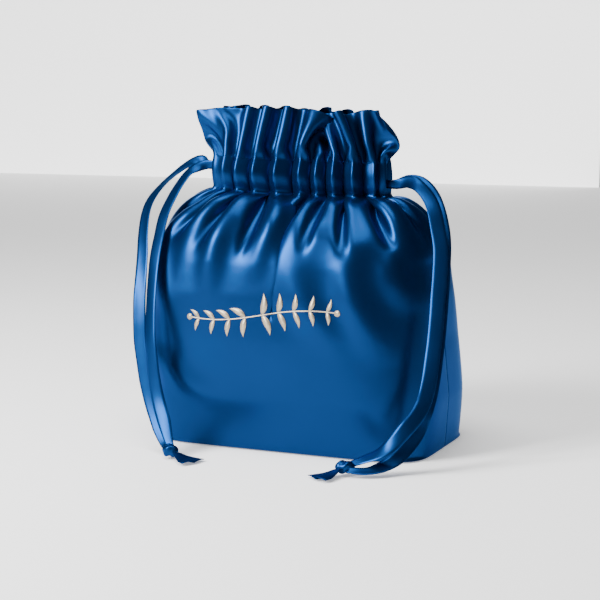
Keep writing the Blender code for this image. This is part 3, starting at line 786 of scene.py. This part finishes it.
RIGHT_BACK = [
    (0.0735, -0.1030, 0.0048, -0.3, 0.7, -0.7),
    (0.0790, -0.1025, 0.0042, -0.3, 0.5, -0.9),
    (0.0890, -0.0980, 0.0044, -0.2, 0.3, -0.9),
    (0.0996, -0.0867, 0.0088, -0.3, 0.5, -0.8),
    (0.1071, -0.0782, 0.0180, -0.3, 0.8, -0.5),
    (0.1114, -0.0700, 0.0277, -0.4, 1.0, -0.3),
    (0.1142, -0.0665, 0.0380, -0.4, 1.0, -0.3),
    (0.1155, -0.0605, 0.0490, -0.4, 1.0, -0.2),
    (0.1160, -0.0555, 0.0610, -0.3, 1.0, -0.2),
    (0.1160, -0.0505, 0.0740, -0.3, 1.0, -0.2),
    (0.1158, -0.0455, 0.0870, -0.3, 1.0, -0.2),
    (0.1152, -0.0405, 0.1000, -0.3, 1.0, -0.2),
    (0.1144, -0.0355, 0.1130, -0.3, 1.0, -0.2),
    (0.1138, -0.0315, 0.1260, -0.3, 1.0, -0.3),
    (0.1125, -0.0260, 0.1440, -0.3, 0.9, -0.4),
    (0.1090, -0.0200, 0.1575, -0.4, 0.8, -0.5),
    (0.1030, -0.0130, 0.1700, -0.3, 0.7, -0.6),
    (0.0960, -0.0060, 0.1790, -0.3, 0.6, -0.8),
    (0.0870, -0.0010, 0.1848, -0.1, 0.7, -0.7),
    (0.0770, 0.0012, 0.1855, 0.0, 1.0, -0.2),
    (0.0690, 0.0010, 0.1830, 0.0, 1.0, 0.0),
]
TAPE_WIDTH = 0.0100
TAPE_THICKNESS = 0.0005
KNOT_PINCH = 0.022  # length over which a strand is gathered into its knot
SLIT_PINCH = 0.026  # and into its slit
INTO_CASING = 0.0095  # how far a strand goes on between the casing's layers
TAPE_CUP = 0.0004  # how far the tape's middle arches over its edges
TAPE_PROFILE = np.array([-1, -0.97, -0.6, -0.2, 0.2, 0.6, 0.97, 1])  # shares of its half width
TAPE_EDGE = 0.15  # thickness left at its very edge
ROUTE_STEP = 0.0025
ROUTE_SHARES = np.arange(24) / 24
KNOT_SIZE = (0.0066, 0.0047, 0.0044)  # half length, half width and half height
TAIL_REACH = 0.024
TAIL_STEP = 0.0012
TAIL_WIDTH = 0.0040  # at the knot
TAIL_SPREAD = 0.0078  # added to it at the cut
TAIL_CUP = 0.0006
# A cut end's line: share of its reach, height
TAIL_LINE = ((0.10, 0.0045), (0.30, 0.0038), (0.50, 0.0022), (0.75, 0.0012), (1.0, 0.0010))
TAIL_LIFT = 0.0007  # of each knot's second cut end over its first


def smooth_route(rows, step=ROUTE_STEP):
    """(place, facing) pairs an even step apart along the smooth curve through the rows."""
    points = np.array(rows)
    dense = []
    last = len(points) - 1
    for k in range(last):
        p0, p1, p2, p3 = points[max(k - 1, 0)], points[k], points[k + 1], points[min(k + 2, last)]
        square, cube = 2 * p0 - 5 * p1 + 4 * p2 - p3, 3 * p1 - p0 - 3 * p2 + p3
        for t in ROUTE_SHARES:
            dense.append(0.5 * (2 * p1 + (p2 - p0) * t + square * t**2 + cube * t**3))
    dense.append(points[-1])
    dense = np.array(dense)
    gone = np.concatenate([[0], np.cumsum(np.linalg.norm(np.diff(dense[:, :3], axis=0), axis=1))])
    at = np.linspace(0, gone[-1], int(round(gone[-1] / step)) + 1)
    even = np.stack([np.interp(at, gone, dense[:, k]) for k in range(6)], 1)
    return even, gone[-1]


def ribbon_mesh(name, even, widths, cup=TAPE_CUP):
    """A thin ribbon along the route, cupped a little across its width, with rounded edges."""
    places, facings = even[:, :3], even[:, 3:6]
    forward = np.gradient(places, axis=0)
    forward /= np.linalg.norm(forward, axis=1, keepdims=True)
    across = np.cross(forward, facings)
    across /= np.linalg.norm(across, axis=1, keepdims=True)
    normal = np.cross(across, forward)
    verts, faces = [], []
    for i in range(len(even)):
        half = widths[i] / 2
        for sign in (1, -1):
            for u in TAPE_PROFILE if sign > 0 else TAPE_PROFILE[::-1]:
                edge = TAPE_EDGE if abs(u) == 1 else 1.0
                arch = cup * (1 - u * u) * (half / (TAPE_WIDTH / 2))
                height = sign * edge * TAPE_THICKNESS / 2 + arch
                verts.append(places[i] + across[i] * half * u + normal[i] * height)
    ring = 2 * len(TAPE_PROFILE)
    for i in range(len(even) - 1):
        for k in range(ring):
            m = (k + 1) % ring
            faces.append((i * ring + k, i * ring + m, (i + 1) * ring + m, (i + 1) * ring + k))
    faces.append(tuple(range(ring))[::-1])
    faces.append(tuple((len(even) - 1) * ring + k for k in range(ring)))
    return closed_mesh(name, verts, faces)


def strand(name, rows, material):
    """One hanging strand, narrowed into its knot and, bunched, into its slit."""
    x, y, z, *facing = rows[-1]
    inside = (x - math.copysign(INTO_CASING, x), y, z, *facing)
    even, length = smooth_route(rows + [inside])
    gone = np.linspace(0, length, len(even))
    widths = TAPE_WIDTH * (0.40 + 0.60 * np.clip(gone / KNOT_PINCH, 0, 1) ** 0.8)
    widths *= 0.50 + 0.50 * np.clip((length - gone) / SLIT_PINCH, 0, 1)
    made = add_object(name, ribbon_mesh(name, even, widths), material)
    return made, even[:, :3].tolist()[::-1], length


def knot(name, centre, turn, material):
    """A pulled-tight overhand knot: a lump with the tape's turns wrapped across it."""
    shape = bmesh.new()
    bmesh.ops.create_uvsphere(shape, u_segments=48, v_segments=28, radius=1.0)
    length, width, height = KNOT_SIZE
    for vert in shape.verts:
        x, y, z = vert.co
        around = math.atan2(z, y)
        wrap = math.cos(2 * (around + 2.6 * x)) * (1 - x * x)
        grow = 1 + 0.13 * wrap + 0.05 * math.cos(5 * around + 4 * x) * (1 - x * x)
        vert.co = Vector((x * length, y * width * grow, z * height * grow))
    mesh = bpy.data.meshes.new(name)
    shape.to_mesh(mesh)
    shape.free()
    c, s = math.cos(turn), math.sin(turn)
    for vert in mesh.vertices:
        x, y, z = vert.co
        vert.co = Vector(centre) + Vector((c * x - s * y, s * x + c * y, z))
    mesh.shade_smooth()
    return add_object(name, mesh, material)


def tail(name, centre, turn, material, lift):
    """A cut end of the tape on the floor, pinched at the knot and spread at its slanted cut."""
    c, s = math.cos(turn), math.sin(turn)
    rows = []
    for share, z in TAIL_LINE:
        x, y = centre[0] + c * TAIL_REACH * share, centre[1] + s * TAIL_REACH * share
        rows.append((x, y, z + lift, 0.0, 0.0, 1.0))
    even, _ = smooth_route(rows, TAIL_STEP)
    spread = np.clip((np.linspace(0, 1, len(even)) - 0.15) / 0.6, 0, 1) ** 1.2
    widths = TAIL_WIDTH + TAIL_SPREAD * spread
    return add_object(name, ribbon_mesh(name, even, widths, cup=TAIL_CUP), material)


# ---------------------------------------------------------------- foil print

FOIL_MIDDLE = (-0.0035, 0.0960)  # x and z of the print's middle on the front panel
FOIL_LIFT = 0.00030  # over the cloth's middle surface
FOIL_HALF = 0.055  # half the length of the sprig's stem
FOIL_LINE = 0.0008  # width of a stem
STEM_WAVE = 0.0050  # height of the stem's wave
STEM_TURN = 2.2  # radians of the wave on each side of the middle
LEAF_LEAN = 0.95  # radians between a leaf and the stem
LEAF = (0.0150, 0.0048)  # length and width of the largest leaf
LEAF_PAIRS = 9
BUD = 0.0022  # radius of the largest bud


def stem_at(share):
    """A place on the sprig's wavy stem and its direction, from -1 to 1."""
    place = Vector((share * FOIL_HALF, STEM_WAVE * math.sin(STEM_TURN * share)))
    ahead = Vector((FOIL_HALF, STEM_WAVE * STEM_TURN * math.cos(STEM_TURN * share)))
    return place, math.atan2(ahead.y, ahead.x)


def strip_outline(points, widths):
    """Both edges of a line through the points, as quads."""
    quads = []
    rows = []
    for i, point in enumerate(points):
        ahead = (points[min(i + 1, len(points) - 1)] - points[max(i - 1, 0)]).normalized()
        side = Vector((-ahead.y, ahead.x)) * widths[i] / 2
        rows.append((point - side, point + side))
    for (a, b), (c, d) in zip(rows, rows[1:]):
        quads.append((a, c, d, b))
    return quads


def leaf_quads(root, turn, size):
    """A pointed leaf as a strip that swells and tapers, with a slight bend."""
    length, width = LEAF[0] * size, LEAF[1] * size
    points, widths = [], []
    for i in range(9):
        share = i / 8
        bend = turn + 0.35 * share * (1 if turn > 0 else -1)
        points.append(root + Vector((math.cos(bend), math.sin(bend))) * length * share)
        widths.append(max(width * math.sin(math.pi * share**0.8), 0.00012))
    return strip_outline(points, widths)


def sprig_quads():
    """The whole ornament, flat: a stem with leaves on both sides and a bud at each end."""
    along = [stem_at(-1 + 2 * i / 60)[0] for i in range(61)]
    quads = strip_outline(along, [FOIL_LINE] * 61)
    for i in range(LEAF_PAIRS):
        share = -0.86 + 1.72 * i / (LEAF_PAIRS - 1)
        root, way = stem_at(share)
        size = 1.0 - 0.45 * abs(share)
        outward = 0 if share >= 0 else math.pi
        for side in (1, -1):
            lean = side * LEAF_LEAN if share >= 0 else -side * LEAF_LEAN
            quads += leaf_quads(root, way + outward + lean, size)
    for share in (-1, 1):
        middle = stem_at(share)[0]
        turns = np.linspace(0, 2 * math.pi, 17)
        ring = [middle + Vector((math.cos(a), math.sin(a))) * BUD for a in turns]
        quads += [(middle, a, b) for a, b in zip(ring, ring[1:])]
    return quads


def foil_print(name, panel, material):
    """The ornament laid on the front panel's outer face, following its folds."""
    scene_graph = bpy.context.evaluated_depsgraph_get()
    tree = BVHTree.FromObject(panel, scene_graph)
    shape = bmesh.new()
    for quad in sprig_quads():
        corners = []
        for flat in quad:
            start = Vector((FOIL_MIDDLE[0] + flat.x, -0.2, FOIL_MIDDLE[1] + flat.y))
            hit, _, _, _ = tree.ray_cast(start, Vector((0, 1, 0)))
            corners.append(shape.verts.new(hit + Vector((0, -FOIL_LIFT, 0))))
        shape.faces.new(corners)
    bmesh.ops.remove_doubles(shape, verts=shape.verts, dist=0.00002)
    mesh = bpy.data.meshes.new(name)
    shape.to_mesh(mesh)
    shape.free()
    mesh.shade_smooth()
    made = add_object(name, mesh, material)
    thick = made.modifiers.new("foil", "SOLIDIFY")
    thick.thickness = 0.0001
    return made


# ---------------------------------------------------------------- scene

CAMERA_AZIMUTH = 23.46  # degrees to the right of the pouch's front
CAMERA_ELEVATION = 7.71
CAMERA_DISTANCE = 1.1
CAMERA_TARGET = (-0.0038, 0.0, 0.0982)
CAMERA_SENSOR = 36
CAMERA_LENS = 91.818
LIGHT_TARGET = (0, 0, 0.1)
WORLD_STRENGTH = 0.18
STUDIO_HALF = 3.0  # half the floor's side, and the backdrop's height
FLOOR_GAP = 0.0004  # between the floor and the CAD base
SATIN_BLUE = (0.0040, 0.030, 0.115)
SATIN_TINT = (0.30, 0.55, 1.0)
SATIN_METALLIC = 0.88  # the threads reflect in their own blue
# Each softbox: name, place, size and power in watts
LIGHTS = [
    ("key", (-0.75, -0.95, 0.80), (0.45, 0.70), 44),
    ("top", (-0.10, -0.20, 1.30), (1.00, 0.60), 16),
]
BACKDROP_GLOW = 2.0
BACKDROP_SPAN = (-3.0, -0.45)  # along X
FLOOR_GLOW = 0.40


def look(obj, target):
    direction = Vector(target) - obj.location
    obj.rotation_euler = direction.to_track_quat("-Z", "Y").to_euler()


def make_camera():
    azimuth, elevation = math.radians(CAMERA_AZIMUTH), math.radians(CAMERA_ELEVATION)
    target = Vector(CAMERA_TARGET)
    data = bpy.data.cameras.new("camera")
    data.lens = CAMERA_LENS
    data.sensor_width = CAMERA_SENSOR
    data.clip_start = 0.01
    camera = bpy.data.objects.new("camera", data)
    level = math.cos(elevation)
    away = Vector((math.sin(azimuth) * level, -math.cos(azimuth) * level, math.sin(elevation)))
    camera.location = target + CAMERA_DISTANCE * away
    bpy.context.scene.collection.objects.link(camera)
    look(camera, target)
    bpy.context.scene.camera = camera
    return camera


def area_light(name, place, size, power):
    data = bpy.data.lights.new(name, "AREA")
    data.shape = "RECTANGLE"
    data.size, data.size_y = size
    data.energy = power
    made = bpy.data.objects.new(name, data)
    made.location = place
    bpy.context.scene.collection.objects.link(made)
    look(made, LIGHT_TARGET)


def make_world():
    world = bpy.data.worlds.new("studio")
    world.use_nodes = True
    world.node_tree.nodes["Background"].inputs["Color"].default_value = (1, 1, 1, 1)
    world.node_tree.nodes["Background"].inputs["Strength"].default_value = WORLD_STRENGTH
    bpy.context.scene.world = world


def stage_plane(name, corners, glow):
    """A plain white surface of the studio."""
    mesh = bpy.data.meshes.new(name)
    mesh.from_pydata(corners, [], [(0, 1, 2, 3)])
    material, _, _, shader = new_material(name + "_white")
    shader.inputs["Base Color"].default_value = (0.95, 0.95, 0.95, 1)
    shader.inputs["Roughness"].default_value = 0.9
    shader.inputs["Specular IOR Level"].default_value = 0.0
    shader.inputs["Emission Color"].default_value = (1, 1, 1, 1)
    shader.inputs["Emission Strength"].default_value = glow
    plane = add_object(name, mesh, material)


def make_stage():
    """The floor, and a backdrop that stands behind it."""
    size = STUDIO_HALF
    flat = [(x * size, y * size, -FLOOR_GAP) for x, y in ((-1, -1), (1, -1), (1, 1), (-1, 1))]
    stage_plane("floor", flat, FLOOR_GLOW)
    low, high = BACKDROP_SPAN
    corners = ((low, -FLOOR_GAP), (high, -FLOOR_GAP), (high, size), (low, size))
    upright = [(x, size, z) for x, z in corners]
    stage_plane("backdrop", upright, BACKDROP_GLOW)


def main():
    make_camera()
    make_world()
    make_stage()
    for name, place, size, power in LIGHTS:
        area_light(name, place, size, power)
    bag = satin_material("bag_satin", SATIN_BLUE, SATIN_TINT, 0.34)
    tape = satin_material("tape_satin", SATIN_BLUE, SATIN_TINT, 0.36)
    cloth, p = make_cloth()
    for side, name in ((1, "front_panel"), (0, "back_panel")):
        piece = panel_mesh(name + "_cloth", cloth, p, side, bag)
        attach(piece, "root")
        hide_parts(name)
        thread = stitches(name + "_stitches", cloth, p, side, tape)
        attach(thread, "root")
        if name == "front_panel":
            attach(foil_print("foil_sprig", piece, foil_material("gold_foil")), "root")
    for side, routes, centre, turn, tails in (
        ("left", (LEFT_FRONT, LEFT_BACK), LEFT_KNOT, -20, (-8, -30)),
        ("right", (RIGHT_FRONT, RIGHT_BACK), RIGHT_KNOT, 20, (-132, -112)),
    ):
        lump = knot(side + "_knot", centre, math.radians(turn), tape)
        ends = [
            tail(f"{side}_end_{i}", centre, math.radians(a), tape, TAIL_LIFT * i)
            for i, a in enumerate(tails)
        ]
        for piece in [lump] + ends:
            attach(piece, "root")
        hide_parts(side + "_drawstring")
        for k, rows in enumerate(routes):
            made, path, length = strand(f"{side}_strand_{k}", rows, tape)
            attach(made, "root")


main()
